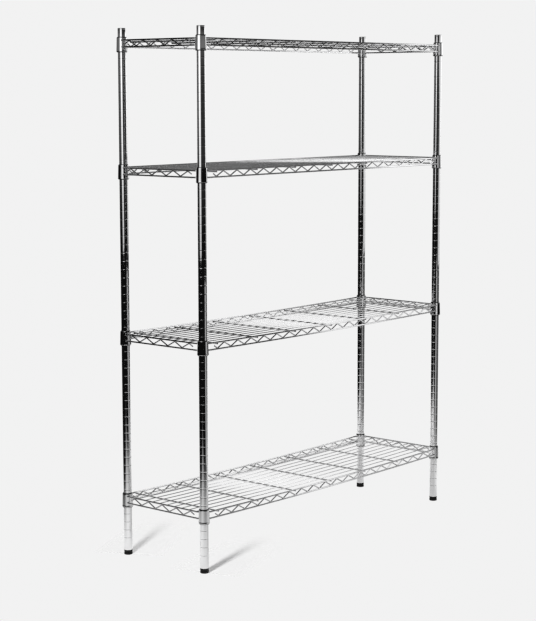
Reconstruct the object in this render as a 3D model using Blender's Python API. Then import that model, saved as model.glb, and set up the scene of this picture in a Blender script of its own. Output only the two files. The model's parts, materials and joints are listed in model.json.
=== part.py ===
"""Wire shelving unit: four grooved tube posts on levelling feet, four welded wire shelves held by tapered split sleeves.

Metres, +Z up, floor at z = 0, centred on the footprint. X is the long side, -Y the front.
"""

import math

import bmesh
import bpy
from mathutils import Vector
from mathutils.geometry import delaunay_2d_cdt

# Footprint: spacing of the post axes.
POST_SPAN_X = 1.186
POST_SPAN_Y = 0.323

# Posts.
SIDES = 12
POST_R = 0.0127
POST_BORE_R = 0.0115
POST_Z0 = 0.0148
POST_Z1 = 1.6148
GROOVE_PITCH = 0.0254
GROOVE_DEPTH = 0.0009
GROOVE_HALF = 0.0016
LOWEST_GROOVE_Z = 0.0550
SHELF_GROOVES = (5, 25, 45, 60)  # counted up from the lowest groove

# Post caps.
CAP_GAP = 0.0003
CAP_H = 0.0049
CAP_TOP_R = 0.0112
CAP_SKIRT_R = 0.0112
CAP_SKIRT_LEN = 0.0150

# Bottom plugs, studs and foot pads.
PLUG_Z0 = 0.0078
PLUG_FLANGE_H = 0.0067
PLUG_SHANK_R = 0.0112
PLUG_SHANK_TOP = 0.0500
THREAD_BORE_R = 0.0053
STUD_R = 0.0049
STUD_Z0 = 0.0033
STUD_Z1 = 0.0450
PAD_R = 0.0132
PAD_H = 0.0072
PAD_SOCKET_Z = 0.0030

# Split sleeves, heights from the groove they sit in.
SLEEVE_TOP = 0.0142
SLEEVE_BOTTOM = -0.0318
SLEEVE_IN_R = 0.0130
SLEEVE_TOP_R = 0.0141
SLEEVE_BOTTOM_R = 0.0154
SLEEVE_BEAD_R = 0.0122
SLEEVE_BEAD_HALF = 0.0012
SLEEVE_SLIT_DEG = 1.5

# Shelf collars.
COLLAR_TOP = 0.0125
COLLAR_BOTTOM = -0.0295
COLLAR_CLEAR = 0.0003
COLLAR_TOP_R = 0.0159
COLLAR_BOTTOM_R = 0.01725

# Shelf wires, heights from the groove.
RAIL_OFFSET = 0.0120  # rail lines lie this far outside the post axes
RAIL_D = 0.0050
RAIL_TOP_Z = 0.0042
RAIL_BOTTOM_Z = -0.0158
RAIL_TOP_END = 0.0113
RAIL_BOTTOM_END = 0.0120
ZIGZAG_D = 0.0040
ZIGZAG_INSET = 0.0010
ZIGZAG_LONG_PITCH = 0.06035
ZIGZAG_LONG_BOTTOMS = 19
ZIGZAG_SHORT_PITCH = 0.05885
ZIGZAG_SHORT_TOPS = 5
CROSS_D = 0.0050
CROSS_COUNT = 7
CROSS_EVERY = 3  # zigzag pitches between cross wires
CROSS_BITE = 0.0006
CROSS_OVER = 0.0018
DECK_D = 0.0030
DECK_COUNT = 10
DECK_PITCH = 0.0305
DECK_OVER = 0.0010

CORNERS = {"fl": (-1, -1), "fr": (1, -1), "bl": (-1, 1), "br": (1, 1)}


def clear_scene():
    for obj in list(bpy.data.objects):
        bpy.data.objects.remove(obj, do_unlink=True)


def material(name, colour, roughness, metallic):
    mat = bpy.data.materials.new(name)
    mat.use_nodes = True
    shader = mat.node_tree.nodes["Principled BSDF"]
    shader.inputs["Base Color"].default_value = (*colour, 1.0)
    shader.inputs["Roughness"].default_value = roughness
    shader.inputs["Metallic"].default_value = metallic
    return mat


def mesh_of(name, verts, faces, smooth):
    mesh = bpy.data.meshes.new(name)
    mesh.from_pydata(verts, [], faces)
    bm = bmesh.new()
    bm.from_mesh(mesh)
    bmesh.ops.recalc_face_normals(bm, faces=bm.faces)
    bm.to_mesh(mesh)
    bm.free()
    if smooth:
        mesh.polygons.foreach_set("use_smooth", [True] * len(mesh.polygons))
        mesh.set_sharp_from_angle(angle=math.radians(36))
    mesh.update()
    return mesh


def add_object(name, mesh, location, mat):
    obj = bpy.data.objects.new(name, mesh)
    obj.location = location
    bpy.context.scene.collection.objects.link(obj)
    if mat is not None:
        mesh.materials.clear()
        mesh.materials.append(mat)
    return obj


def lathe(profile, sides=SIDES, start=0.0, sweep=math.tau):
    """Vertices and faces of a profile of (radius, z) turned about Z. The profile runs round the whole section, so the body is
    closed; a radius of 0 makes one point on the axis. A sweep short of a full turn gets flat ends."""
    full = sweep >= math.tau - 1e-9
    steps = sides if full else max(1, round(sides * sweep / math.tau))
    count = steps if full else steps + 1
    verts, rings = [], []
    for radius, z in profile:
        if radius == 0.0:
            rings.append([len(verts)] * count)
            verts.append((0.0, 0.0, z))
            continue
        ring = []
        for i in range(count):
            a = start + sweep * i / steps
            ring.append(len(verts))
            verts.append((radius * math.cos(a), radius * math.sin(a), z))
        rings.append(ring)
    faces = []
    for lower, upper in zip(rings, rings[1:] + rings[:1]):
        for i in range(steps):
            j = (i + 1) % count
            face = [lower[i], lower[j], upper[j], upper[i]]
            face = [v for k, v in enumerate(face) if v not in face[:k]]
            if len(face) > 2:
                faces.append(face)
    if not full:
        faces.append([ring[0] for ring in rings])
        faces.append([ring[-1] for ring in reversed(rings)])
    return verts, faces


def groove_heights():
    return [LOWEST_GROOVE_Z + n * GROOVE_PITCH for n in SHELF_GROOVES]


def post_profile():
    """A tube with the grooves that its sleeves sit in."""
    outer = [(POST_R, POST_Z0)]
    for z in groove_heights():
        outer += [
            (POST_R, z - GROOVE_HALF),
            (POST_R - GROOVE_DEPTH, z),
            (POST_R, z + GROOVE_HALF),
        ]
    outer.append((POST_R, POST_Z1))
    return outer + [(POST_BORE_R, POST_Z1), (POST_BORE_R, POST_Z0)]


def cap_profile():
    z = POST_Z1 + CAP_GAP
    return [
        (0.0, z - CAP_SKIRT_LEN),
        (CAP_SKIRT_R, z - CAP_SKIRT_LEN),
        (CAP_SKIRT_R, z),
        (POST_R, z),
        (POST_R, z + 0.6 * CAP_H),
        (CAP_TOP_R, z + CAP_H),
        (0.0, z + CAP_H),
    ]


def plug_profile():
    flange_top = PLUG_Z0 + PLUG_FLANGE_H
    return [
        (THREAD_BORE_R, PLUG_Z0),
        (POST_R, PLUG_Z0),
        (POST_R, flange_top),
        (PLUG_SHANK_R, flange_top),
        (PLUG_SHANK_R, PLUG_SHANK_TOP),
        (THREAD_BORE_R, PLUG_SHANK_TOP),
    ]


def stud_profile():
    return [(0.0, STUD_Z0), (STUD_R, STUD_Z0), (STUD_R, STUD_Z1), (0.0, STUD_Z1)]


def pad_profile():
    return [
        (0.0, 0.0),
        (PAD_R, 0.0),
        (PAD_R, PAD_H),
        (THREAD_BORE_R, PAD_H),
        (THREAD_BORE_R, PAD_SOCKET_Z),
        (0.0, PAD_SOCKET_Z),
    ]


def sleeve_profile():
    return [
        (SLEEVE_BOTTOM_R, SLEEVE_BOTTOM),
        (SLEEVE_TOP_R, SLEEVE_TOP),
        (SLEEVE_IN_R, SLEEVE_TOP),
        (SLEEVE_IN_R, SLEEVE_BEAD_HALF),
        (SLEEVE_BEAD_R, 0.0),
        (SLEEVE_IN_R, -SLEEVE_BEAD_HALF),
        (SLEEVE_IN_R, SLEEVE_BOTTOM),
    ]


def sleeve_outer_at(z):
    share = (z - SLEEVE_BOTTOM) / (SLEEVE_TOP - SLEEVE_BOTTOM)
    return SLEEVE_BOTTOM_R + share * (SLEEVE_TOP_R - SLEEVE_BOTTOM_R)


def collar_profile():
    return [
        (COLLAR_BOTTOM_R, COLLAR_BOTTOM),
        (COLLAR_TOP_R, COLLAR_TOP),
        (sleeve_outer_at(COLLAR_TOP) + COLLAR_CLEAR, COLLAR_TOP),
        (sleeve_outer_at(COLLAR_BOTTOM) + COLLAR_CLEAR, COLLAR_BOTTOM),
    ]


def truss_polygon(apexes, half_length):
    """The outline of one side of a shelf and its openings, in (along, height). apexes is [(along, at the top rail)] of the zigzag."""
    r, half = RAIL_D / 2, ZIGZAG_D / 2
    low, high = RAIL_BOTTOM_Z + r, RAIL_TOP_Z - r
    points = [
        (s, RAIL_TOP_Z - ZIGZAG_INSET if top else RAIL_BOTTOM_Z + ZIGZAG_INSET)
        for s, top in apexes
    ]
    lines = []  # per diagonal: its slope and the heights of its two edges at along = 0
    for (s0, z0), (s1, z1) in zip(points, points[1:]):
        m = (z1 - z0) / (s1 - s0)
        lift = half * math.hypot(1.0, m)
        lines.append((m, z0 - m * s0 - lift, z0 - m * s0 + lift))

    def reach(line, edge, z):
        return (z - line[edge]) / line[0]

    openings = []
    for i in range(1, len(points) - 1):
        a, b = lines[i - 1], lines[i]
        edge, base = (1, low) if apexes[i][1] else (2, high)
        s = (b[edge] - a[edge]) / (a[0] - b[0])
        openings.append(
            [
                (reach(a, edge, base), base),
                (reach(b, edge, base), base),
                (s, a[0] * s + a[edge]),
            ]
        )
    first, last = lines[0], lines[-1]
    left_edge = 2 if first[0] > 0 else 1
    right_edge = 1 if last[0] > 0 else 2
    top_end, bottom_end = half_length - RAIL_TOP_END, half_length - RAIL_BOTTOM_END
    outline = [
        (-bottom_end, RAIL_BOTTOM_Z - r),
        (bottom_end, RAIL_BOTTOM_Z - r),
        (bottom_end, low),
        (reach(last, right_edge, low), low),
        (reach(last, right_edge, high), high),
        (top_end, high),
        (top_end, RAIL_TOP_Z + r),
        (-top_end, RAIL_TOP_Z + r),
        (-top_end, high),
        (reach(first, left_edge, high), high),
        (reach(first, left_edge, low), low),
        (-bottom_end, low),
    ]
    return outline, openings


def inside(point, loop):
    x, y = point
    hit = False
    for (x0, y0), (x1, y1) in zip(loop, loop[1:] + loop[:1]):
        if (y0 > y) != (y1 > y) and x < x0 + (y - y0) * (x1 - x0) / (y1 - y0):
            hit = not hit
    return hit


def truss(apexes, half_length, place):
    """A flat welded side: two rails and the zigzag between them, as one plate of the rails' thickness."""
    outline, openings = truss_polygon(apexes, half_length)
    loops = [outline] + openings
    flat, edges = [], []
    for loop in loops:
        start = len(flat)
        flat += [Vector(p) for p in loop]
        edges += [
            (start + i, start + (i + 1) % len(loop)) for i in range(len(loop))
        ]
    points, _, triangles, _, _, _ = delaunay_2d_cdt(flat, edges, [], 1, 1e-7)
    kept = []
    for tri in triangles:
        c = sum((Vector(points[i]) for i in tri), Vector((0, 0))) / len(tri)
        if inside(c, outline) and not any(inside(c, hole) for hole in openings):
            kept.append(list(tri))
    count = len(points)
    verts = [place(p[0], p[1], -RAIL_D / 2) for p in points]
    verts += [place(p[0], p[1], RAIL_D / 2) for p in points]
    faces = [t[::-1] for t in kept] + [[i + count for i in t] for t in kept]
    sides = {}
    for t in kept:
        for a, b in zip(t, t[1:] + t[:1]):
            sides[(a, b)] = True
    for a, b in sides:
        if (b, a) not in sides:
            faces.append([a, b, b + count, a + count])
    return verts, faces


def wire_deck():
    """Lengthwise wires lying on cross wires, joined where they touch."""
    half_c, half_d = CROSS_D / 2, DECK_D / 2
    top_c = RAIL_TOP_Z - RAIL_D / 2 + CROSS_BITE
    step = CROSS_EVERY * ZIGZAG_LONG_PITCH
    xs = [(i - (CROSS_COUNT - 1) / 2) * step for i in range(CROSS_COUNT)]
    ys = [(i - (DECK_COUNT - 1) / 2) * DECK_PITCH for i in range(DECK_COUNT)]
    end_x = POST_SPAN_X / 2 + RAIL_OFFSET + DECK_OVER
    end_y = POST_SPAN_Y / 2 + RAIL_OFFSET + CROSS_OVER
    along_x = [-end_x] + [x + s * half_c for x in xs for s in (-1, 1)] + [end_x]
    along_y = [-end_y] + [y + s * half_d for y in ys for s in (-1, 1)] + [end_y]
    verts, index, faces = [], {}, []

    def at(x, y, z):
        key = (round(x, 7), round(y, 7), round(z, 7))
        if key not in index:
            index[key] = len(verts)
            verts.append((x, y, z))
        return index[key]

    for y in ys:
        lo, hi, top = y - half_d, y + half_d, top_c + DECK_D
        for side in (lo, hi):
            faces.append(
                [at(x, side, top_c) for x in along_x]
                + [at(end_x, side, top), at(-end_x, side, top)]
            )
        faces.append([at(x, s, top) for x, s in ((-end_x, lo), (end_x, lo), (end_x, hi), (-end_x, hi))])
        for x in (-end_x, end_x):
            faces.append([at(x, lo, top_c), at(x, hi, top_c), at(x, hi, top), at(x, lo, top)])
        for x0, x1 in zip(along_x[::2], along_x[1::2]):
            faces.append([at(x0, lo, top_c), at(x1, lo, top_c), at(x1, hi, top_c), at(x0, hi, top_c)])
    for x in xs:
        lo, hi, base = x - half_c, x + half_c, top_c - CROSS_D
        for side in (lo, hi):
            faces.append(
                [at(side, y, top_c) for y in along_y]
                + [at(side, end_y, base), at(side, -end_y, base)]
            )
        faces.append([at(s, y, base) for s, y in ((lo, -end_y), (hi, -end_y), (hi, end_y), (lo, end_y))])
        for y in (-end_y, end_y):
            faces.append([at(lo, y, top_c), at(hi, y, top_c), at(hi, y, base), at(lo, y, base)])
        for y0, y1 in zip(along_y[::2], along_y[1::2]):
            faces.append([at(lo, y0, top_c), at(hi, y0, top_c), at(hi, y1, top_c), at(lo, y1, top_c)])
    return verts, faces


def long_apexes():
    n = ZIGZAG_LONG_BOTTOMS
    return [
        ((i / 2 - (n - 1) / 2) * ZIGZAG_LONG_PITCH, i % 2 == 1)
        for i in range(2 * n - 1)
    ]


def short_apexes():
    n = ZIGZAG_SHORT_TOPS
    return [
        ((i / 2 - (n - 1) / 2) * ZIGZAG_SHORT_PITCH, i % 2 == 0)
        for i in range(2 * n - 1)
    ]


def shelf_mesh():
    """One shelf about its groove height: deck, four sides and four collars, welded into one body."""
    half_x, half_y = POST_SPAN_X / 2, POST_SPAN_Y / 2
    pieces = []
    for sign in (-1, 1):
        y = sign * (half_y + RAIL_OFFSET)
        pieces.append(
            truss(long_apexes(), half_x, lambda s, z, t, y=y: (s, y + t, z))
        )
        x = sign * (half_x + RAIL_OFFSET)
        pieces.append(
            truss(short_apexes(), half_y, lambda s, z, t, x=x: (x + t, s, z))
        )
    ring, ring_faces = lathe(collar_profile())
    for sx, sy in CORNERS.values():
        pieces.append(
            (
                [(x + sx * half_x, y + sy * half_y, z) for x, y, z in ring],
                ring_faces,
            )
        )
    body = add_object("deck_work", mesh_of("deck_work", *wire_deck(), False), (0, 0, 0), None)
    helpers = []
    for i, (verts, faces) in enumerate(pieces):
        helper = add_object(f"side_work_{i}", mesh_of(f"side_work_{i}", verts, faces, False), (0, 0, 0), None)
        helper.hide_render = True
        helper.display_type = "WIRE"
        join = body.modifiers.new(f"join_{i}", "BOOLEAN")
        join.operation = "UNION"
        join.solver = "EXACT"
        join.object = helper
        helpers.append(helper)
    bpy.context.view_layer.update()
    graph = bpy.context.evaluated_depsgraph_get()
    made = bpy.data.meshes.new_from_object(body.evaluated_get(graph))
    for obj in [body] + helpers:
        bpy.data.objects.remove(obj, do_unlink=True)
    return made


def build():
    clear_scene()
    post_chrome = material("post_chrome", (0.74, 0.75, 0.76), 0.10, 1.0)
    wire_chrome = material("wire_chrome", (0.70, 0.71, 0.72), 0.16, 1.0)
    cap_chrome = material("cap_chrome", (0.66, 0.67, 0.68), 0.18, 1.0)
    sleeve_black = material("sleeve_black", (0.016, 0.016, 0.017), 0.42, 0.0)
    plug_black = material("plug_black", (0.020, 0.020, 0.021), 0.50, 0.0)
    pad_black = material("pad_black", (0.018, 0.018, 0.019), 0.58, 0.0)
    stud_zinc = material("stud_zinc", (0.52, 0.52, 0.50), 0.34, 1.0)

    half_x, half_y = POST_SPAN_X / 2, POST_SPAN_Y / 2
    per_corner = (
        ("post", post_profile(), post_chrome),
        ("cap", cap_profile(), cap_chrome),
        ("plug", plug_profile(), plug_black),
        ("stud", stud_profile(), stud_zinc),
        ("pad", pad_profile(), pad_black),
    )
    for corner, (sx, sy) in CORNERS.items():
        for kind, profile, mat in per_corner:
            name = f"{kind}_{corner}"
            add_object(name, mesh_of(name, *lathe(profile), True), (sx * half_x, sy * half_y, 0), mat)
    slit = math.radians(SLEEVE_SLIT_DEG)
    for level, z in enumerate(groove_heights(), 1):
        for corner, (sx, sy) in CORNERS.items():
            for half, start in (("a", 0.0), ("b", math.pi)):
                name = f"sleeve_{level}_{corner}_{half}"
                verts, faces = lathe(sleeve_profile(), SIDES, start + slit, math.pi - 2 * slit)
                add_object(name, mesh_of(name, verts, faces, True), (sx * half_x, sy * half_y, z), mat=sleeve_black)
    shelf = shelf_mesh()
    for level, z in enumerate(groove_heights(), 1):
        mesh = shelf.copy()
        mesh.name = f"shelf_{level}"
        add_object(f"shelf_{level}", mesh, (0, 0, z), wire_chrome)
    bpy.data.meshes.remove(shelf)


build()
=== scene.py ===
import json
import math

import bpy
import numpy as np
from mathutils import Matrix, Vector

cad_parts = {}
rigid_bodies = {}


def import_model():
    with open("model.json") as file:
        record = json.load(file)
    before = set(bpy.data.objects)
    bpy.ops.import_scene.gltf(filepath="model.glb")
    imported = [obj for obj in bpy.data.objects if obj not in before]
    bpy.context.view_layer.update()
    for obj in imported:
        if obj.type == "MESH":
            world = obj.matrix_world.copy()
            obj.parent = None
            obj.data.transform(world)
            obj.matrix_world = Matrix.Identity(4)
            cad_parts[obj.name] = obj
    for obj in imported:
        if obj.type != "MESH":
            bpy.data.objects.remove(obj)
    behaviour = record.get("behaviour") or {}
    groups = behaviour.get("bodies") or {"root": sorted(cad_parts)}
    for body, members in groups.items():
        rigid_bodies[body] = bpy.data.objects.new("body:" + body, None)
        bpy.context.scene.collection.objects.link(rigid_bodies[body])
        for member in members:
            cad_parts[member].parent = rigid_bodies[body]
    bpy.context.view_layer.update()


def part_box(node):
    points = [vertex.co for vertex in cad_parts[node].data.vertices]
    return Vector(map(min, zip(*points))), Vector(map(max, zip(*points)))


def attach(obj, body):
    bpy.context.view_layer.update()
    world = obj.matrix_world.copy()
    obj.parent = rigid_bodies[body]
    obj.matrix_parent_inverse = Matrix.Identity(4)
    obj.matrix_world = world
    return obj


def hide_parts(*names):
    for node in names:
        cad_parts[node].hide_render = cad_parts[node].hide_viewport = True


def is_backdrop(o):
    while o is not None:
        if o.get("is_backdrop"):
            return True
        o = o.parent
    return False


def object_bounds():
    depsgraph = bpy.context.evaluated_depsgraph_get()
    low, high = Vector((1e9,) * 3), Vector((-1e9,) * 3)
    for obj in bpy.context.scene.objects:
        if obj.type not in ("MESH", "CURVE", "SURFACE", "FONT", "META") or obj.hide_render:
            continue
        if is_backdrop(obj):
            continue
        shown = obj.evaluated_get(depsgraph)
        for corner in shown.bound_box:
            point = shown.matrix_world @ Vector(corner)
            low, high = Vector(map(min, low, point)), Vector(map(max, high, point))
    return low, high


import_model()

# ---------------------------------------------------------------- dimensions, metres

HALF_X, HALF_Y = 0.593, 0.1615  # post axes
CORNERS = {"fl": (-1, -1), "fr": (1, -1), "bl": (-1, 1), "br": (1, 1)}

POST_R, POST_BORE = 0.0127, 0.0115
POST_Z0, POST_Z1 = 0.0148, 1.6148
GROOVE_PITCH, GROOVE_Z0, GROOVE_COUNT = 0.0254, 0.0550, 61
GROOVE_DEPTH, GROOVE_HALF = 0.00017, 0.0012
SHELF_Z = [GROOVE_Z0 + GROOVE_PITCH * n for n in (5, 25, 45, 60)]
SHELF_SAG = (0.0048, 0.0035, 0.0, 0.0)

RAIL_OUT = 0.0120
RAIL_R, ZIGZAG_R, CROSS_R, DECK_R = 0.0025, 0.0020, 0.0025, 0.0015
RAIL_HI, RAIL_LO = 0.0042, -0.0158
CROSS_Z = RAIL_HI - RAIL_R + 0.0006 - CROSS_R
DECK_Z = CROSS_Z + CROSS_R + DECK_R - 0.0003
LONG_PITCH, LONG_LOWS = 0.06035, 19
SHORT_PITCH, SHORT_HIGHS = 0.05885, 5
CROSS_STEP, CROSS_COUNT = 3 * LONG_PITCH, 7
DECK_PITCH, DECK_COUNT = 0.0305, 10

# ---------------------------------------------------------------- mesh code


class Shell:
    """Closed surfaces gathered into one mesh."""

    def __init__(self):
        self.points, self.faces, self.count = [], [], 0

    def add(self, points, faces):
        points = np.asarray(points, float)
        base = self.count
        self.points.append(points)
        self.faces.extend([tuple(i + base for i in f) for f in faces])
        self.count += len(points)

    def move(self, points, faces, offset):
        self.add(np.asarray(points, float) + np.asarray(offset, float), faces)


def mesh_object(name, shell, smooth_deg=40.0):
    points = np.concatenate(shell.points)
    mesh = bpy.data.meshes.new(name)
    mesh.from_pydata(points.tolist(), [], shell.faces)
    mesh.validate()
    mesh.update()
    obj = bpy.data.objects.new(name, mesh)
    bpy.context.scene.collection.objects.link(obj)
    mesh.shade_smooth()
    mesh.set_sharp_from_angle(angle=math.radians(smooth_deg))
    return obj


def ring_faces(a, b, sides):
    return [(a + i, a + (i + 1) % sides, b + (i + 1) % sides, b + i) for i in range(sides)]


def turned(profile, sides, closed):
    """A surface of revolution about Z. profile is [(r, z)]: a loop counter-clockwise in (r, z) when closed, else open from bottom axis to top axis."""
    turn = np.arange(sides) * (2 * math.pi / sides)
    ring = np.stack([np.cos(turn), np.sin(turn)], 1)
    points, starts = [], []
    for r, z in profile:
        starts.append(len(points))
        if r < 1e-9:
            points.append((0.0, 0.0, z))
        else:
            points.extend([(c * r, s * r, z) for c, s in ring])
    faces = []
    pairs = list(zip(range(len(profile)), list(range(1, len(profile))) + ([0] if closed else [])))
    for i, j in pairs:
        a, b = starts[i], starts[j]
        on_a, on_b = profile[i][0] < 1e-9, profile[j][0] < 1e-9
        for k in range(sides):
            n = (k + 1) % sides
            if on_a and on_b:
                continue
            if on_a:
                faces.append((a, b + n, b + k))
            elif on_b:
                faces.append((a + k, a + n, b))
            else:
                faces.append((a + k, a + n, b + n, b + k))
    return points, faces


def swept_half(profile, steps, start, sweep):
    """A part turn of a closed (r, z) loop, with flat ends."""
    points = []
    for k in range(steps + 1):
        t = start + sweep * k / steps
        points.extend([(r * math.cos(t), r * math.sin(t), z) for r, z in profile])
    n = len(profile)
    faces = []
    for k in range(steps):
        for i in range(n):
            j = (i + 1) % n
            faces.append((k * n + i, (k + 1) * n + i, (k + 1) * n + j, k * n + j))
    faces.append(tuple(range(n)))
    faces.append(tuple(range(steps * n + n - 1, steps * n - 1, -1)))
    return points, faces


def tube(path, radius, sides, nose=0.45):
    """A round wire along a path, its cut ends lightly rounded."""
    path = np.asarray(path, float)
    step = np.diff(path, axis=0)
    length = np.linalg.norm(step, axis=1)
    unit = step / length[:, None]
    tangent = np.concatenate([unit[:1], unit[:-1] + unit[1:], unit[-1:]])
    tangent /= np.linalg.norm(tangent, axis=1)[:, None]
    side = np.cross(tangent[0], (0, 0, 1) if abs(tangent[0][2]) < 0.9 else (1, 0, 0))
    side /= np.linalg.norm(side)
    turn = np.arange(sides) * (2 * math.pi / sides) + math.pi / sides
    rings = []
    for i, (p, t) in enumerate(zip(path, tangent)):
        side = side - t * side.dot(t)
        side /= np.linalg.norm(side)
        up = np.cross(t, side)
        rings.append((p, t, side, up, radius))
    ends = []
    for at, sign in ((0, 1), (-1, -1)):
        p, t, s, u, r = rings[at]
        ends.append(
            [
                (p, t, s, u, r * 0.62),
                (p + t * sign * r * nose * 0.35, t, s, u, r * 0.9),
                (p + t * sign * r * nose, t, s, u, r),
            ]
        )
    rings = ends[0] + rings[1:-1] + ends[1][::-1]
    points = []
    for p, t, s, u, r in rings:
        points.extend(p + r * (math.cos(a) * s + math.sin(a) * u) for a in turn)
    faces = []
    for i in range(len(rings) - 1):
        faces.extend(ring_faces(i * sides, (i + 1) * sides, sides))
    faces.append(tuple(range(sides - 1, -1, -1)))
    last = (len(rings) - 1) * sides
    faces.append(tuple(range(last, last + sides)))
    return points, faces


def straight(a, b, pieces):
    a, b = np.asarray(a, float), np.asarray(b, float)
    return [a + (b - a) * k / pieces for k in range(pieces + 1)]


def bent(corners, radius, arc):
    """A path through the corners with every inner corner rounded."""
    corners = [np.asarray(c, float) for c in corners]
    path = [corners[0]]
    for before, here, after in zip(corners, corners[1:], corners[2:]):
        u = (before - here) / np.linalg.norm(before - here)
        v = (after - here) / np.linalg.norm(after - here)
        half = math.acos(max(-1.0, min(1.0, float(u.dot(v))))) / 2
        back = radius / math.tan(half)
        middle = (u + v) / np.linalg.norm(u + v)
        centre = here + middle * radius / math.sin(half)
        start, end = here + u * back, here + v * back
        a, b = start - centre, end - centre
        swing = math.acos(max(-1.0, min(1.0, float(a.dot(b)) / radius**2)))
        for k in range(arc + 1):
            f = k / arc
            path.append(
                centre
                + (math.sin((1 - f) * swing) * a + math.sin(f * swing) * b) / math.sin(swing)
            )
    path.append(corners[-1])
    return path


def bead(centre, size, around=8, rows=4):
    """A small flattened weld nugget."""
    points = [(0, 0, -1)]
    for i in range(1, rows):
        t = math.pi * i / rows - math.pi / 2
        for k in range(around):
            a = 2 * math.pi * k / around
            points.append((math.cos(t) * math.cos(a), math.cos(t) * math.sin(a), math.sin(t)))
    points.append((0, 0, 1))
    top = len(points) - 1
    faces = []
    for k in range(around):
        n = (k + 1) % around
        faces.append((0, 1 + n, 1 + k))
        for i in range(rows - 2):
            a, b = 1 + i * around, 1 + (i + 1) * around
            faces.append((a + k, a + n, b + n, b + k))
        a = 1 + (rows - 2) * around
        faces.append((a + k, a + n, top))
    return np.asarray(points) * np.asarray(size) + np.asarray(centre), faces


# ---------------------------------------------------------------- shapes of the pieces


def groove_section(z):
    """The rolled groove round a post: rounded shoulders and a rounded floor."""
    shape = []
    for f in (-1.0, -0.78, -0.55, -0.32, 0.0, 0.32, 0.55, 0.78, 1.0):
        depth = GROOVE_DEPTH * 0.5 * (1 + math.cos(math.pi * f))
        shape.append((POST_R - depth, z + f * GROOVE_HALF))
    return shape


def post_shell():
    outer = [(POST_R - 0.0006, POST_Z0), (POST_R - 0.00015, POST_Z0 + 0.00025), (POST_R, POST_Z0 + 0.0008)]
    for n in range(GROOVE_COUNT):
        z = GROOVE_Z0 + GROOVE_PITCH * n
        outer.append((POST_R, z - 0.0030))
        outer += groove_section(z)
        outer.append((POST_R, z + 0.0030))
    outer += [(POST_R, POST_Z1 - 0.0008), (POST_R - 0.00015, POST_Z1 - 0.00025), (POST_R - 0.0006, POST_Z1)]
    inner = [(POST_BORE, POST_Z1), (POST_BORE, POST_Z0)]
    shell = Shell()
    shell.add(*turned(outer + inner, 40, True))
    return shell


def cap_shell():
    z0, z1 = 1.6151, 1.6200
    skirt = 0.0111
    profile = [(0.0, 1.6020), (0.0096, 1.6020), (skirt - 0.0003, 1.6000), (skirt, 1.6006), (skirt, z0)]
    profile += [(POST_R - 0.0004, z0), (POST_R, z0 + 0.0004), (POST_R, z1 - 0.0026)]
    for k in range(1, 7):
        a = math.pi / 2 * k / 6
        profile.append((POST_R - 0.0024 + 0.0024 * math.cos(a), z1 - 0.0026 + 0.0020 * math.sin(a)))
    profile += [(0.0070, z1 - 0.0003), (0.0035, z1 - 0.0001), (0.0, z1)]
    shell = Shell()
    shell.add(*turned(profile, 40, False))
    return shell


def plug_shell():
    z0, z1 = 0.0078, 0.0145
    profile = [(0.0053, z0 + 0.0005), (0.0058, z0), (0.0121, z0), (0.0126, z0 + 0.0003), (0.0129, z0 + 0.0010)]
    profile += [(0.0131, z1 - 0.0009), (0.0129, z1 - 0.0003), (0.0125, z1), (0.0112, z1)]
    for k in range(7):  # gripping ribs of the shank
        z = z1 + 0.0035 + 0.0044 * k
        profile += [(0.0106, z - 0.0012), (0.0112, z), (0.0106, z + 0.0012)]
    profile += [(0.0106, 0.0485), (0.0100, 0.0500), (0.0058, 0.0500), (0.0053, 0.0495)]
    shell = Shell()
    shell.add(*turned(profile, 36, True))
    return shell


def stud_shell():
    """A threaded stud, its helix running out at both ends."""
    crest, root, pitch = 0.0049, 0.0042, 0.0015
    z0, z1, sides, per_turn = 0.0033, 0.0450, 20, 6
    rows = int((z1 - z0) / pitch * per_turn)
    points = []
    for i in range(rows + 1):
        z = z0 + (z1 - z0) * i / rows
        ease = min(1.0, (z - z0) / 0.0025, (z1 - z) / 0.0025)
        for k in range(sides):
            a = 2 * math.pi * k / sides
            phase = ((z - z0) / pitch - k / sides) % 1.0
            r = root + (crest - root) * abs(2 * phase - 1) * ease
            points.append((r * math.cos(a), r * math.sin(a), z))
    faces = []
    for i in range(rows):
        faces.extend(ring_faces(i * sides, (i + 1) * sides, sides))
    faces.append(tuple(range(sides - 1, -1, -1)))
    faces.append(tuple(range(rows * sides, (rows + 1) * sides)))
    shell = Shell()
    shell.add(points, faces)
    return shell


def pad_shell():
    """The foot: a round pad with a shallow dished underside, a rounded foot edge and a socket for the stud."""
    top = 0.0072
    profile = [(0.0, 0.0006), (0.0080, 0.0006), (0.0088, 0.0000), (0.0118, 0.0000), (0.0127, 0.0004), (0.0131, 0.0013)]
    profile += [(0.0132, 0.0030), (0.0131, top - 0.0009), (0.0128, top - 0.0003), (0.0122, top), (0.0057, top), (0.0053, top - 0.0005)]
    profile += [(0.0053, 0.0030), (0.0, 0.0030)]
    shell = Shell()
    shell.add(*turned(profile, 36, False))
    return shell


def sleeve_section():
    """One half sleeve in (r, z) from its groove: tapered outside, a bead inside, rounded lips."""
    inner = [(0.0131, 0.0138), (0.0130, 0.0134), (0.0130, 0.0014), (0.0126, 0.0009), (0.0122, 0.0004), (0.0122, -0.0004)]
    inner += [(0.0126, -0.0009), (0.0130, -0.0014), (0.0130, -0.0312), (0.0131, -0.0318)]
    outer = [(0.0150, -0.0318), (0.0154, -0.0314), (0.01545, -0.0300), (0.0142, 0.0120), (0.0141, 0.0137), (0.0138, 0.0142), (0.0133, 0.0142)]
    return inner[::-1][::-1], outer


def sleeve_shell(start):
    inner, outer = sleeve_section()
    loop = outer + inner  # counter-clockwise in (r, z)
    gap = math.radians(1.5)
    shell = Shell()
    shell.add(*swept_half(loop, 22, start + gap / 2, math.pi - gap))
    return shell


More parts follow.
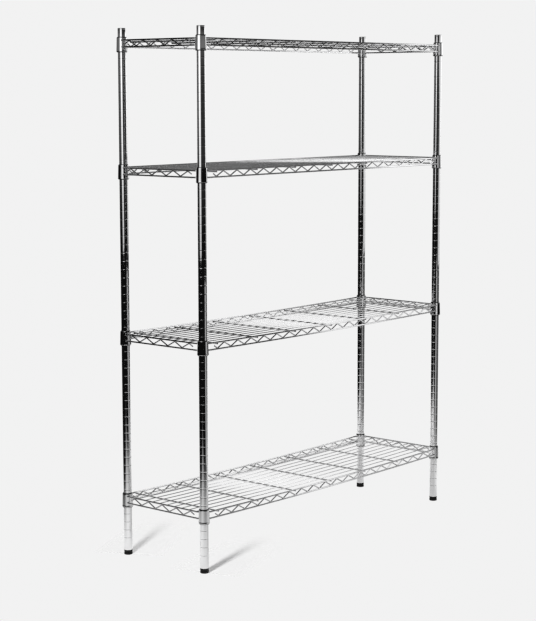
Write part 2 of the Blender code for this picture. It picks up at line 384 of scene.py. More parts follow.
def collar_section():
    def hole(z):
        f = (z + 0.0318) / 0.046
        return 0.0154 + (0.0141 - 0.0154) * f + 0.0003

    top, bottom = 0.0125, -0.0295
    loop = [(hole(bottom) + 0.0005, bottom), (0.01700, bottom), (0.01725, bottom + 0.0004), (0.01735, bottom + 0.0011)]
    loop += [(0.01725, bottom + 0.0021), (0.01700, bottom + 0.0034), (0.01690, bottom + 0.0060), (0.01600, top - 0.0040)]
    loop += [(0.01598, top - 0.0014), (0.01585, top - 0.0005), (0.01555, top), (hole(top) + 0.0004, top)]
    loop += [(hole(top - 0.0005), top - 0.0005), (hole(bottom + 0.0006), bottom + 0.0006)]
    return loop


def sagged(points, sag):
    points = np.array(points, float)
    span = np.clip(np.abs(points[:, 0]) / 0.570, 0, 1)
    points[:, 2] -= sag * (1 - span**2)
    return points


def shelf_shells():
    """Rails with zigzag, the same at the back, deck wires and collars of one shelf about its groove height, as four shells."""
    edge, back, deck, collars = Shell(), Shell(), Shell(), Shell()
    rail_y, rail_x = HALF_Y + RAIL_OUT, HALF_X + RAIL_OUT
    for s in (-1, 1):
        long_side = back if s > 0 else edge
        for z, end in ((RAIL_HI, 0.0113), (RAIL_LO, 0.0120)):
            long_side.add(*tube(straight((-HALF_X + end, s * rail_y, z), (HALF_X - end, s * rail_y, z), 24), RAIL_R, 14))
            edge.add(*tube(straight((s * rail_x, -HALF_Y + end, z), (s * rail_x, HALF_Y - end, z), 6), RAIL_R, 14))
        hi, lo = RAIL_HI - RAIL_R - ZIGZAG_R + 0.0013, RAIL_LO + RAIL_R + ZIGZAG_R - 0.0013
        hi, lo = hi + 0.0011, lo - 0.0011
        mid = (hi + lo) / 2
        first = -(LONG_LOWS - 1) / 2 * LONG_PITCH
        corners = [(first - 0.0135, s * rail_y, mid + 0.0005)]
        for i in range(2 * LONG_LOWS - 1):
            corners.append((first + i * LONG_PITCH / 2, s * rail_y, lo if i % 2 == 0 else hi))
        corners.append((-first + 0.0135, s * rail_y, mid + 0.0005))
        long_side.add(*tube(bent(corners, 0.0050, 5), ZIGZAG_R, 12))
        first = -(SHORT_HIGHS - 1) / 2 * SHORT_PITCH
        corners = [(s * rail_x, first - 0.0150, mid - 0.0005)]
        for i in range(2 * SHORT_HIGHS - 1):
            corners.append((s * rail_x, first + i * SHORT_PITCH / 2, hi if i % 2 == 0 else lo))
        corners.append((s * rail_x, -first + 0.0150, mid - 0.0005))
        edge.add(*tube(bent(corners, 0.0050, 5), ZIGZAG_R, 12))
        # weld nuggets where the zigzag meets the rails
        for i in range(2 * LONG_LOWS - 1):
            z = RAIL_LO + RAIL_R - 0.0003 if i % 2 == 0 else RAIL_HI - RAIL_R + 0.0003
            x = -(LONG_LOWS - 1) / 2 * LONG_PITCH + i * LONG_PITCH / 2
            long_side.add(*bead((x, s * rail_y, z), (0.0036, 0.0021, 0.0013)))
        for i in range(2 * SHORT_HIGHS - 1):
            z = RAIL_HI - RAIL_R + 0.0003 if i % 2 == 0 else RAIL_LO + RAIL_R - 0.0003
            y = first + i * SHORT_PITCH / 2
            edge.add(*bead((s * rail_x, y, z), (0.0021, 0.0036, 0.0013)))
    xs = [(i - (CROSS_COUNT - 1) / 2) * CROSS_STEP for i in range(CROSS_COUNT)]
    ys = [(i - (DECK_COUNT - 1) / 2) * DECK_PITCH for i in range(DECK_COUNT)]
    for x in xs:
        deck.add(*tube(straight((x, -rail_y - 0.0022, CROSS_Z), (x, rail_y + 0.0022, CROSS_Z), 8), CROSS_R, 14))
        for s in (-1, 1):
            deck.add(*bead((x, s * rail_y, CROSS_Z + CROSS_R - 0.0003), (0.0026, 0.0024, 0.0009)))
        for y in ys:
            deck.add(*bead((x, y, CROSS_Z + CROSS_R - 0.0001), (0.0022, 0.0018, 0.0007), 8, 4))
    for n, y in enumerate(ys):
        path = straight((-rail_x - 0.0008, y, DECK_Z), (rail_x + 0.0008, y, DECK_Z), 36)
        for k, p in enumerate(path):
            f = k / 36
            p[1] += 0.00035 * math.sin(7.0 * f + 1.7 * n) * math.sin(math.pi * f)
            p[2] += 0.00015 * math.sin(6 * 2 * math.pi * f)
        deck.add(*tube(path, DECK_R, 10))
        for s in (-1, 1):
            deck.add(*bead((s * (rail_x - 0.0026), y, RAIL_HI - 0.0005), (0.0012, 0.0021, 0.0014)))
    ring = turned(collar_section(), 44, True)
    for sx, sy in CORNERS.values():
        collars.move(*ring, (sx * HALF_X, sy * HALF_Y, 0))
        # weld fillets that fix the four rail ends to the collar
        for z, end in ((RAIL_HI, 0.0113), (RAIL_LO, 0.0120)):
            collars.add(*bead((sx * (HALF_X - end - 0.0006), sy * (rail_y - 0.0008), z), (0.0030, 0.0030, 0.0031), 10, 6))
            collars.add(*bead((sx * (rail_x - 0.0008), sy * (HALF_Y - end - 0.0006), z), (0.0030, 0.0030, 0.0031), 10, 6))
    return edge, back, deck, collars


# ---------------------------------------------------------------- materials


def new_material(name):
    mat = bpy.data.materials.new(name)
    mat.use_nodes = True
    tree = mat.node_tree
    return mat, tree, tree.nodes["Principled BSDF"]


def noise(tree, scale, detail, stretch=None, rough=0.55):
    coords = tree.nodes.new("ShaderNodeTexCoord")
    tex = tree.nodes.new("ShaderNodeTexNoise")
    tex.inputs["Scale"].default_value = scale
    tex.inputs["Detail"].default_value = detail
    tex.inputs["Roughness"].default_value = rough
    if stretch:
        mapping = tree.nodes.new("ShaderNodeMapping")
        mapping.inputs["Scale"].default_value = stretch
        tree.links.new(coords.outputs["Object"], mapping.inputs["Vector"])
        tree.links.new(mapping.outputs["Vector"], tex.inputs["Vector"])
    else:
        tree.links.new(coords.outputs["Object"], tex.inputs["Vector"])
    return tex


def ramp_colour(tree, tex, stops, target):
    ramp = tree.nodes.new("ShaderNodeValToRGB")
    ramp.color_ramp.elements[0].position = stops[0][0]
    ramp.color_ramp.elements[0].color = (*stops[0][1], 1)
    ramp.color_ramp.elements[1].position = stops[1][0]
    ramp.color_ramp.elements[1].color = (*stops[1][1], 1)
    tree.links.new(tex.outputs["Fac"], ramp.inputs["Fac"])
    tree.links.new(ramp.outputs["Color"], target)


def ramp_value(tree, tex, low, high, target):
    span = tree.nodes.new("ShaderNodeMapRange")
    span.inputs["From Min"].default_value = 0.3
    span.inputs["From Max"].default_value = 0.7
    span.inputs["To Min"].default_value = low
    span.inputs["To Max"].default_value = high
    tree.links.new(tex.outputs["Fac"], span.inputs["Value"])
    tree.links.new(span.outputs["Result"], target)


def add_bump(tree, shader, tex, strength, distance):
    bump = tree.nodes.new("ShaderNodeBump")
    bump.inputs["Strength"].default_value = strength
    bump.inputs["Distance"].default_value = distance
    tree.links.new(tex.outputs["Fac"], bump.inputs["Height"])
    tree.links.new(bump.outputs["Normal"], shader.inputs["Normal"])


def plated(name, dark, bright, rough_low, rough_high, stretch, bump):
    mat, tree, shader = new_material(name)
    shader.inputs["Metallic"].default_value = 1.0
    ramp_colour(tree, noise(tree, 14.0, 4.0), ((0.35, dark), (0.70, bright)), shader.inputs["Base Color"])
    ramp_value(tree, noise(tree, 40.0, 5.0, stretch), rough_low, rough_high, shader.inputs["Roughness"])
    add_bump(tree, shader, noise(tree, 420.0, 3.0, stretch), bump, 0.0002)
    return mat


def moulded(name, dark, bright, rough_low, rough_high):
    mat, tree, shader = new_material(name)
    shader.inputs["Specular IOR Level"].default_value = 0.22
    ramp_colour(tree, noise(tree, 30.0, 4.0), ((0.35, dark), (0.70, bright)), shader.inputs["Base Color"])
    ramp_value(tree, noise(tree, 90.0, 4.0), rough_low, rough_high, shader.inputs["Roughness"])
    add_bump(tree, shader, noise(tree, 1400.0, 3.0), 0.25, 0.0002)
    return mat


CHROME_POST = plated("plated_post", (0.90, 0.90, 0.905), (0.95, 0.95, 0.955), 0.05, 0.10, (1.0, 1.0, 0.06), 0.010)
CHROME_CAP = plated("plated_cap", (0.88, 0.88, 0.885), (0.94, 0.94, 0.945), 0.06, 0.12, None, 0.03)
# painted shade: the rail and deck plating are darker copies of the post plating, so that the wires show as dark as they
# look in this light, the rails darkest
CHROME_RAIL_SHADED = plated("plated_rail", (0.56, 0.56, 0.565), (0.64, 0.64, 0.645), 0.12, 0.17, None, 0.006)
CHROME_DECK_SHADED = plated("plated_deck", (0.74, 0.74, 0.745), (0.83, 0.83, 0.835), 0.12, 0.17, None, 0.006)
CHROME_COLLAR = plated("plated_collar", (0.87, 0.87, 0.875), (0.94, 0.94, 0.945), 0.06, 0.13, None, 0.010)
SLEEVE = moulded("black_sleeve", (0.006, 0.006, 0.006), (0.012, 0.012, 0.012), 0.38, 0.52)
PLUG = moulded("black_plug", (0.003, 0.003, 0.003), (0.007, 0.007, 0.007), 0.42, 0.55)
PAD = moulded("black_pad", (0.003, 0.003, 0.003), (0.008, 0.008, 0.008), 0.45, 0.60)
STEEL = plated("steel_stud", (0.42, 0.42, 0.43), (0.55, 0.55, 0.56), 0.28, 0.42, (1.0, 1.0, 8.0), 0.10)


# ---------------------------------------------------------------- pieces


def piece(name, shell, body, nodes, slot, mat, smooth_deg=40.0):
    obj = mesh_object(name, shell, smooth_deg)
    obj.data.materials.append(mat)
    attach(obj, body)
    if nodes:
        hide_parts(*nodes)
    return obj


def placed(shell, x, y, z=0.0):
    made = Shell()
    made.points = [p + np.array((x, y, z)) for p in shell.points]
    made.faces, made.count = shell.faces, shell.count
    return made


post_s, cap_s, plug_s, stud_s, pad_s = post_shell(), cap_shell(), plug_shell(), stud_shell(), pad_shell()
for corner, (sx, sy) in CORNERS.items():
    x, y = sx * HALF_X, sy * HALF_Y
    piece(f"post_tube_{corner}", placed(post_s, x, y), "posts", [f"post_{corner}"], "post", CHROME_POST, 50.0)
    piece(f"post_cap_{corner}", placed(cap_s, x, y), "posts", [f"cap_{corner}"], "cap", CHROME_CAP)
    piece(f"foot_plug_{corner}", placed(plug_s, x, y), "posts", [f"plug_{corner}"], "plug", PLUG)
    piece(f"foot_stud_{corner}", placed(stud_s, x, y), f"screw_{corner}", [f"stud_{corner}"], "stud", STEEL, 60.0)
    piece(f"foot_pad_{corner}", placed(pad_s, x, y), f"foot_{corner}", [f"pad_{corner}"], "pad", PAD)

halves = {"a": None, "b": None}
edge_s, back_s, deck_s, collar_s = shelf_shells()
for level, height in enumerate(SHELF_Z, 1):
    sag = SHELF_SAG[level - 1]
    for part, shell, slot, mat in (
        ("rails", edge_s, "wire", CHROME_RAIL_SHADED),
        ("back", back_s, "wire", CHROME_RAIL_SHADED),
        ("deck", deck_s, "wire", CHROME_DECK_SHADED),
        ("collars", collar_s, "wire", CHROME_COLLAR),
    ):
        bowed = Shell()
        bowed.points = [sagged(np.concatenate(shell.points), sag) + np.array((0, 0, height))]
        bowed.faces, bowed.count = shell.faces, shell.count
        piece(
            f"shelf_{level}_{part}",
            bowed,
            f"shelf_{level}",
            [f"shelf_{level}"] if part == "rails" else [],
            slot,
            mat,
            50.0,
        ).visible_shadow = part == "collars"
    for corner, (sx, sy) in CORNERS.items():
        for half in ("a", "b"):
            node = f"sleeve_{level}_{corner}_{half}"
            lo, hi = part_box(node)
            middle = (lo + hi) / 2
            out = Vector((middle.x - sx * HALF_X, middle.y - sy * HALF_Y))
            start = math.atan2(out.y, out.x) - math.pi / 2
            piece(
                f"sleeve_half_{level}_{corner}_{half}",
                placed(sleeve_shell(start), sx * HALF_X, sy * HALF_Y, height),
                "posts",
                [node],
                "sleeve",
                SLEEVE,
                45.0,
            )

# ---------------------------------------------------------------- floor


SHADOW_TURN = {"fl": 16.5, "bl": 26.5}  # degrees from +X, the way each foot's shadow falls


def floor_plane():
    """A pale floor that fades out ahead of the shelves and at its rim; in reflections the fades near the shelves and
    the dimming under them are painted shade.
    """
    shell = Shell()
    n = 40
    xs, ys = np.linspace(-3.4, 6.0, n), np.linspace(-3.4, 6.0, n)
    points = [(x, y, -0.0004) for y in ys for x in xs]
    faces = [
        (j * n + i, j * n + i + 1, (j + 1) * n + i + 1, (j + 1) * n + i)
        for j in range(n - 1)
        for i in range(n - 1)
    ]
    shell.add(points, faces)
    obj = mesh_object("studio_floor", shell)
    mat, tree, shader = new_material("pale_floor")
    shader.inputs["Specular IOR Level"].default_value = 0.0
    ramp_colour(tree, noise(tree, 6.0, 3.0), ((0.3, (0.797, 0.797, 0.797)), (0.7, (0.803, 0.803, 0.803))), shader.inputs["Base Color"])
    ramp_value(tree, noise(tree, 25.0, 3.0), 0.85, 0.95, shader.inputs["Roughness"])
    add_bump(tree, shader, noise(tree, 300.0, 3.0), 0.02, 0.0002)
    coords = tree.nodes.new("ShaderNodeTexCoord")

    def reach(direction, near, far):
        dot = tree.nodes.new("ShaderNodeVectorMath")
        dot.operation = "DOT_PRODUCT"
        dot.inputs[1].default_value = direction
        tree.links.new(coords.outputs["Object"], dot.inputs[0])
        fade = tree.nodes.new("ShaderNodeMapRange")
        fade.interpolation_type = "SMOOTHSTEP"
        fade.inputs["From Min"].default_value = near
        fade.inputs["From Max"].default_value = far
        fade.inputs["To Min"].default_value = 1.0
        fade.inputs["To Max"].default_value = 0.0
        tree.links.new(dot.outputs["Value"], fade.inputs["Value"])
        return fade.outputs["Result"]

    # painted shade: the fades close to the shelves darken the floor in the reflections, where less light would fall;
    # the far fades end the floor at its rim
    shown = reach((-0.25, -0.968, 0.0), 0.15, 1.90)
    for direction, near, far in (((1, 0, 0), 3.5, 5.8), ((0, 1, 0), 3.5, 5.8), ((-0.651, 0.759, 0), 0.5, 1.6), ((0.651, -0.759, 0), 0.6, 1.9)):
        both = tree.nodes.new("ShaderNodeMath")
        both.operation = "MULTIPLY"
        tree.links.new(shown, both.inputs[0])
        tree.links.new(reach(direction, near, far), both.inputs[1])
        shown = both.outputs[0]
    # painted shade: in the plating the floor is dimmer under the shelves, in place of the shadow the shelves would cast
    under = tree.nodes.new("ShaderNodeVectorMath")
    under.operation = "DISTANCE"
    under.inputs[1].default_value = (0.10, -0.10, 0.0)
    tree.links.new(coords.outputs["Object"], under.inputs[0])
    dim = tree.nodes.new("ShaderNodeMapRange")
    dim.interpolation_type = "SMOOTHSTEP"
    dim.inputs["From Min"].default_value = 0.40
    dim.inputs["From Max"].default_value = 0.85
    dim.inputs["To Min"].default_value = 0.62
    dim.inputs["To Max"].default_value = 0.99
    tree.links.new(under.outputs["Value"], dim.inputs["Value"])
    both = tree.nodes.new("ShaderNodeMath")
    both.operation = "MULTIPLY"
    tree.links.new(shown, both.inputs[0])
    tree.links.new(dim.outputs["Result"], both.inputs[1])
    shown = both.outputs[0]
    # to the eye the floor only differs from the pale backdrop by the two foot shadows,
    # so it shows on the shadow side of those feet
    near = None
    for corner, azimuth in SHADOW_TURN.items():
        sx, sy = CORNERS[corner]
        away = tree.nodes.new("ShaderNodeVectorMath")
        away.operation = "DISTANCE"
        away.inputs[1].default_value = (sx * HALF_X, sy * HALF_Y, -0.0004)
        tree.links.new(coords.outputs["Object"], away.inputs[0])
        fade = tree.nodes.new("ShaderNodeMapRange")
        fade.interpolation_type = "SMOOTHSTEP"
        fade.inputs["From Min"].default_value = 0.10
        fade.inputs["From Max"].default_value = 0.50
        fade.inputs["To Min"].default_value = 1.0
        fade.inputs["To Max"].default_value = 0.0
        tree.links.new(away.outputs["Value"], fade.inputs["Value"])
        strip = fade.outputs["Result"]
        for turn, start, end in ((180.0, -0.012, 0.006), (90.0, 0.05, 0.13), (-90.0, 0.05, 0.13)):
            way = math.radians(azimuth + turn)
            foot = math.cos(way) * sx * HALF_X + math.sin(way) * sy * HALF_Y
            both = tree.nodes.new("ShaderNodeMath")
            both.operation = "MULTIPLY"
            tree.links.new(strip, both.inputs[0])
            tree.links.new(reach((math.cos(way), math.sin(way), 0.0), foot + start, foot + end), both.inputs[1])
            strip = both.outputs[0]
        if near is None:
            near = strip
        else:
            more = tree.nodes.new("ShaderNodeMath")
            more.operation = "MAXIMUM"
            tree.links.new(near, more.inputs[0])
            tree.links.new(strip, more.inputs[1])
            near = more.outputs[0]
    rays = tree.nodes.new("ShaderNodeLightPath")
    pick = tree.nodes.new("ShaderNodeMix")
    pick.data_type = "FLOAT"
    tree.links.new(rays.outputs["Is Camera Ray"], pick.inputs[0])
    tree.links.new(shown, pick.inputs[2])
    tree.links.new(near, pick.inputs[3])
    tree.links.new(pick.outputs[0], shader.inputs["Alpha"])
    obj.data.materials.append(mat)
    obj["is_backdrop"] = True
    return obj


floor_plane()

# ---------------------------------------------------------------- light

AMBIENT = 0.06
SUN = {"fl": 0.596, "bl": 0.412}  # of the floor's light, in the ambient's unit
PALE = 0.887


def sun_light(name, toward_x, toward_y, elevation_deg, level, angle_deg):
    """A broad soft light. toward_x, toward_y: the way shadows fall on the floor."""
    data = bpy.data.lights.new(name, "SUN")
    e = math.radians(elevation_deg)
    flat = Vector((toward_x, toward_y, 0)).normalized()
    way = flat * math.cos(e) + Vector((0, 0, -math.sin(e)))
    data.energy = level * math.pi / math.sin(e)
    data.angle = math.radians(angle_deg)
    obj = bpy.data.objects.new(name, data)
    obj.rotation_euler = way.to_track_quat("-Z", "Y").to_euler()
    bpy.context.scene.collection.objects.link(obj)
    obj.visible_glossy = False
    obj.visible_camera = False
    obj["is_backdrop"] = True
    return obj


def panel(name, centre, facing, width, height, radiance, lean_deg=0.0):
    """A soft panel that only shows as a reflection in the plating."""
    data = bpy.data.lights.new(name, "AREA")
    data.shape = "RECTANGLE"
    data.size, data.size_y = width, height
    data.energy = radiance * math.pi * width * height
    obj = bpy.data.objects.new(name, data)
    obj.location = centre
    lean = Matrix.Rotation(math.radians(lean_deg), 3, "Z")
    obj.rotation_euler = (Vector(facing).to_track_quat("-Z", "Y").to_matrix() @ lean).to_euler()
    bpy.context.scene.collection.objects.link(obj)
    obj.visible_camera = False
    obj.visible_diffuse = False
    obj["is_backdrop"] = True
    return obj


# one broad light at the left, as each of the two nearest posts sees it
for corner, turn_deg in SHADOW_TURN.items():
    turn = math.radians(turn_deg)
    key = sun_light(f"key_{corner}", math.cos(turn), math.sin(turn), 52.0, SUN[corner], 5.0)
    casts = bpy.data.collections.new(f"casts_{corner}")
    for part in ("post_tube", "post_cap", "foot_plug", "foot_stud", "foot_pad"):
        casts.objects.link(bpy.data.objects[f"{part}_{corner}"])
    key.light_linking.blocker_collection = casts
panel("front_card", (0.19, -1.365, 0.36), (-0.508, 0.862, 0.0), 1.04, 0.70, 0.34)


def only_on(light, names):
    """Keeps a light to the named pieces."""
    group = bpy.data.collections.new(light.name + "_on")
    for name in names:
        group.objects.link(bpy.data.objects[name])
    light.light_linking.receiver_collection = group


class Sums:
    """Arithmetic on sockets of one node tree."""

    def __init__(self, tree):
        self.tree = tree

    def maths(self, operation, a, b=None, c=None):
        node = self.tree.nodes.new("ShaderNodeMath")
        node.operation = operation
        for i, value in enumerate((a, b, c)):
            if value is None:
                continue
            if isinstance(value, (int, float)):
                node.inputs[i].default_value = value
            else:
                self.tree.links.new(value, node.inputs[i])
        return node.outputs[0]

    def span(self, value, low, high, out_low=0.0, out_high=1.0, soft=True):
        node = self.tree.nodes.new("ShaderNodeMapRange")
        node.interpolation_type = "SMOOTHSTEP" if soft else "LINEAR"
        node.inputs["From Min"].default_value = low
        node.inputs["From Max"].default_value = high
        node.inputs["To Min"].default_value = out_low
        node.inputs["To Max"].default_value = out_high
        self.tree.links.new(value, node.inputs["Value"])
        return node.outputs["Result"]


def glow_stage(obj, glow):
    """Makes a stage mesh glow, only to show as a reflection. glow(sums, x, y, z) gives its brightness from the place on it."""
    mat = bpy.data.materials.new(obj.name)
    mat.use_nodes = True
    mat.cycles.emission_sampling = "NONE"
    tree = mat.node_tree
    tree.nodes.clear()
    coords = tree.nodes.new("ShaderNodeTexCoord")
    parts = tree.nodes.new("ShaderNodeSeparateXYZ")
    tree.links.new(coords.outputs["Object"], parts.inputs[0])
    emit = tree.nodes.new("ShaderNodeEmission")
    tree.links.new(glow(Sums(tree), *parts.outputs), emit.inputs["Strength"])
    clear = tree.nodes.new("ShaderNodeBsdfTransparent")
    both = tree.nodes.new("ShaderNodeAddShader")
    tree.links.new(emit.outputs[0], both.inputs[0])
    tree.links.new(clear.outputs[0], both.inputs[1])
    out = tree.nodes.new("ShaderNodeOutputMaterial")
    tree.links.new(both.outputs[0], out.inputs["Surface"])
    obj.data.materials.append(mat)
    obj.visible_camera = obj.visible_diffuse = obj.visible_shadow = False
    obj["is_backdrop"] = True
    return obj


def glow_card(name, centre, facing, left, right, low, high, glow):
    """A soft-edged lit card."""
    shell = Shell()
    shell.add([(left, low, 0), (right, low, 0), (right, high, 0), (left, high, 0)], [(0, 1, 2, 3)])
    obj = mesh_object(name, shell)
    obj.matrix_world = Matrix.Translation(centre) @ Vector(facing).to_track_quat("-Z", "Y").to_matrix().to_4x4()
    return glow_stage(obj, glow)


def glow_ring(name, radius, low, high, glow):
    """The dim walls of the room, all round."""
    shell, n = Shell(), 64
    turn = [2 * math.pi * k / n for k in range(n)]
    points = [(radius * math.cos(t), radius * math.sin(t), z) for z in (low, high) for t in turn]
    shell.add(points, [(k, n + k, n + (k + 1) % n, (k + 1) % n) for k in range(n)])
    return glow_stage(mesh_object(name, shell), glow)


def left_glow(sums, x, y, z):
    aside = sums.maths("ABSOLUTE", x)
    core = sums.maths("MULTIPLY", sums.span(aside, 0.24, 0.39, 1.0, 0.0), sums.span(y, -0.65, -0.05, 0.50, 1.0, False))
    skirt = sums.maths("MULTIPLY", sums.span(aside, 0.30, 0.85, 0.12, 0.0), sums.span(y, -0.62, 0.05))
    return sums.maths("ADD", core, skirt)


def right_glow(sums, x, y, z):
    shifted = sums.maths("ADD", x, sums.span(y, 0.02, 0.24, 0.0, 0.22))
    bright = sums.maths("MULTIPLY", sums.span(shifted, -0.88, -0.52, 0.0, 0.64), sums.span(y, -0.540, -0.525))
    dim = sums.maths("MULTIPLY", sums.span(x, -0.78, -0.70, 0.0, 0.08), sums.span(y, -0.540, -0.525, 1.0, 0.0))
    return sums.maths("ADD", bright, dim)


def collar_glow(sums, x, y, z):
    return sums.maths("MULTIPLY", sums.span(x, -0.78, -0.48, 0.0, 0.55), sums.span(y, -0.540, -0.525))


def patch_glow(sums, x, y, z):
    return sums.maths("MULTIPLY", sums.span(sums.maths("ABSOLUTE", x), 0.15, 0.22, 0.36, 0.0), sums.span(sums.maths("ABSOLUTE", y), 0.32, 0.42, 1.0, 0.0))


def wall_glow(sums, x, y, z):
    all_round = sums.maths("ADD", sums.span(z, 0.75, 1.25, 0.0, 0.020), sums.span(z, 1.40, 1.85, 0.0, 0.050))
    all_round = sums.maths("MULTIPLY", all_round, sums.span(z, 1.90, 2.20, 1.0, 0.3))
    front = sums.maths("MULTIPLY", sums.span(z, 1.56, 1.76, 0.0, 0.09), sums.span(y, -0.8, -2.2))
    front = sums.maths("MULTIPLY", front, sums.span(z, 1.76, 1.90, 1.0, 0.0))
    aside = sums.span(sums.maths("SUBTRACT", y, x), 1.0, 3.2)
    back = sums.maths("MULTIPLY", sums.maths("MULTIPLY", sums.span(z, 0.90, 1.60, 0.0, 0.055), aside), sums.span(z, 1.80, 2.00, 1.0, 0.2))
    return sums.maths("ADD", sums.maths("ADD", all_round, front), back)


def backdrop_glow(sums, x, y, z):
    # how far a direction points to the backdrop behind and to the right
    turn = math.radians(28.0)
    toward = sums.maths("MULTIPLY_ADD", x, math.cos(turn) / FAR, sums.maths("MULTIPLY", y, math.sin(turn) / FAR))
    slope = sums.maths("DIVIDE", z, FAR)
    rise = sums.maths("DIVIDE", slope, sums.maths("SQRT", sums.maths("MULTIPLY_ADD", slope, slope, 1.0)))
    level = sums.maths("MULTIPLY", sums.span(rise, 0.12, 0.45, 0.85, 0.0), sums.span(rise, -0.06, 0.02))
    return sums.maths("MULTIPLY", sums.span(toward, 0.55, 0.80), level)


def glow_arch(name, height, radius, base, middle_deg, half_deg, centre, flat, soft, level, tail):
    """A lit band bent round one shelf, that only the wires of that shelf show. It dims to its tail on the right."""
    dip = math.asin(min(0.86, (height - 0.03) / radius))
    shell, n = Shell(), 48
    turn = [-dip + (math.pi + 2 * dip) * k / n for k in range(n + 1)]
    points = [(x, -radius * math.cos(t), height + radius * math.sin(t)) for x in (min(0.2, centre - 1.5), centre + 1.3) for t in turn]
    shell.add(points, [(k, k + 1, n + k + 2, n + k + 1) for k in range(n)])
    middle, half, fade = math.radians(middle_deg), math.radians(half_deg), math.radians(20.0)

    def band(sums, x, y, z):
        rise = sums.span(x, centre - flat - soft, centre - flat, 0.0, level)
        across = sums.maths("MULTIPLY", rise, sums.span(x, centre + flat, centre + flat + soft, 1.0, tail))
        lift = sums.maths("MULTIPLY", sums.maths("SUBTRACT", z, height), math.sin(middle) / radius)
        ahead = sums.maths("SUBTRACT", lift, sums.maths("MULTIPLY", y, math.cos(middle) / radius))
        around = sums.span(ahead, math.cos(half + fade), math.cos(half))
        return sums.maths("MULTIPLY_ADD", across, around, base)

    return glow_stage(mesh_object(name, shell), band)


ARCHES = (
    (0.10, 60.0, 75.0, 0.49, 0.07, 0.16, 1.45, 0.27),
    (0.00, 45.0, 70.0, 0.68, 0.14, 0.15, 1.52, 0.28),
    (0.12, 20.0, 45.0, 0.74, 0.12, 0.13, 1.75, 0.24),
    (0.50, 0.0, 50.0, 2.06, 0.20, 0.18, 1.85, 0.95),
)
EDGE_ARCHES = {
    "shelf_1_back": (0.00, 60.0, 75.0, 1.00, 0.35, 0.30, 1.45, 0.85),
    "shelf_2_back": (0.00, 50.0, 75.0, 1.05, 0.35, 0.25, 1.52, 0.35),
    "shelf_4_rails": (0.04, 0.0, 50.0, 2.10, 0.20, 0.18, 1.85, 0.95),
}
for n, (radius, band) in enumerate(zip((0.6, 0.6, 0.4, 1.2), ARCHES), 1):
    arch = glow_arch(f"arch_{n}", SHELF_Z[n - 1], radius, *band)
    wires = [f"shelf_{n}_{kind}" for kind in ("rails", "back", "deck")]
    only_on(arch, [piece for piece in wires if piece not in EDGE_ARCHES])
for piece, band in EDGE_ARCHES.items():
    only_on(glow_arch(f"{piece}_arch", SHELF_Z[int(piece[6]) - 1], 1.22, *band), [piece])

turned_parts = sorted(obj.name for obj in bpy.data.objects if obj.name.startswith(("post_tube_", "post_cap_", "foot_", "sleeve_half_")))
collars = [f"shelf_{n}_collars" for n in (1, 2, 3, 4)]
only_on(glow_ring("walls", 2.6, 0.70, 3.0, wall_glow), turned_parts + collars[3:] + ["shelf_3_rails", "shelf_3_back", "shelf_3_deck"])
glow_card("left_box", (-1.36, -0.20, 1.52), (1.0, 0.0, 0.0), -0.86, 0.86, -0.65, 0.65, left_glow)
FAR = 60.0
only_on(glow_ring("backdrop", FAR, -0.07 * FAR, 0.52 * FAR, backdrop_glow), turned_parts + collars)
BOARD = ((-0.514, 0.857, 0.0), -1.12, 0.75, -1.30, 0.53)
only_on(glow_card("right_board", (1.32, -0.21, 1.32), *BOARD, right_glow), turned_parts)
only_on(glow_card("front_patch", (0.34, -0.70, 1.42), (0.42, 0.907, 0.0), -0.23, 0.23, -0.43, 0.43, patch_glow), collars[2:])
only_on(glow_card("front_patch_low", (0.34, -0.70, 0.70), (0.42, 0.907, 0.0), -0.23, 0.23, -0.43, 0.43, patch_glow), collars[1:2])
only_on(glow_card("right_board_collars", (1.33, -0.23, 1.32), *BOARD, collar_glow), collars)


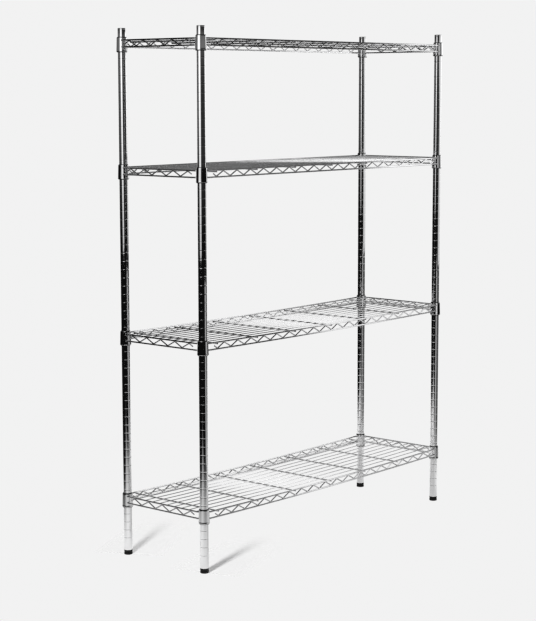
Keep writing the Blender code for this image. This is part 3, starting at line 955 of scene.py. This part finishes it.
def studio_world():
    """Pale to the eye, even for soft light, and a dark room in the plating."""
    world = bpy.data.worlds.new("studio")
    bpy.context.scene.world = world
    world.use_nodes = True
    if hasattr(world, "cycles"):
        world.cycles.sampling_method = "NONE"
    tree = world.node_tree
    tree.nodes.clear()
    out = tree.nodes.new("ShaderNodeOutputWorld")

    def maths(operation, a, b=None, c=None, clamp=False):
        node = tree.nodes.new("ShaderNodeMath")
        node.operation = operation
        node.use_clamp = clamp
        for i, value in enumerate((a, b, c)):
            if value is None:
                continue
            if isinstance(value, (int, float)):
                node.inputs[i].default_value = value
            else:
                tree.links.new(value, node.inputs[i])
        return node.outputs[0]

    def smooth(value, low, high):
        node = tree.nodes.new("ShaderNodeMapRange")
        node.interpolation_type = "SMOOTHSTEP"
        node.inputs["From Min"].default_value = low
        node.inputs["From Max"].default_value = high
        tree.links.new(value, node.inputs["Value"])
        return node.outputs["Result"]

    coords = tree.nodes.new("ShaderNodeTexCoord")
    parts = tree.nodes.new("ShaderNodeSeparateXYZ")
    tree.links.new(coords.outputs["Generated"], parts.inputs[0])
    x, y, z = parts.outputs
    glossy = maths("MULTIPLY_ADD", smooth(z, 0.20, 0.9), 0.05, 0.004)

    rays = tree.nodes.new("ShaderNodeLightPath")
    shown = maths("MULTIPLY", rays.outputs["Is Camera Ray"], PALE)
    soft = maths("SUBTRACT", 1.0, maths("MAXIMUM", rays.outputs["Is Camera Ray"], rays.outputs["Is Glossy Ray"]))
    total = maths(
        "ADD",
        shown,
        maths("ADD", maths("MULTIPLY", soft, AMBIENT), maths("MULTIPLY", rays.outputs["Is Glossy Ray"], glossy)),
    )
    back = tree.nodes.new("ShaderNodeBackground")
    back.inputs["Color"].default_value = (1, 1, 1, 1)
    tree.links.new(total, back.inputs["Strength"])
    tree.links.new(back.outputs[0], out.inputs["Surface"])


studio_world()

# ---------------------------------------------------------------- camera

yaw, pitch, roll = 0.8618797, 0.1294742, -0.0020349
ahead = Vector((math.sin(yaw) * math.cos(pitch), math.cos(yaw) * math.cos(pitch), -math.sin(pitch)))
right = Vector((math.cos(yaw), -math.sin(yaw), 0.0))
upward = right.cross(ahead)
across = math.cos(roll) * right + math.sin(roll) * upward
over = -math.sin(roll) * right + math.cos(roll) * upward
lens = bpy.data.cameras.new("photo_view")
lens.sensor_width = 36.0
lens.lens = 1695.202 / 621 * 36.0
lens.clip_end = 100.0
camera = bpy.data.objects.new("photo_view", lens)
camera.matrix_world = Matrix(
    (
        (across.x, over.x, -ahead.x, -4.215950),
        (across.y, over.y, -ahead.y, -3.521432),
        (across.z, over.z, -ahead.z, 1.435007),
        (0, 0, 0, 1),
    )
)
bpy.context.scene.collection.objects.link(camera)
bpy.context.scene.camera = camera

if hasattr(bpy.context.scene, "cycles"):
    bpy.context.scene.cycles.filter_width = 1.40
    bpy.context.scene.cycles.transparent_max_bounces = 32
view = bpy.context.scene.view_settings
view.view_transform = "Standard"
view.look = "None"
view.exposure = 0.0
view.gamma = 1.0

lo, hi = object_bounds()
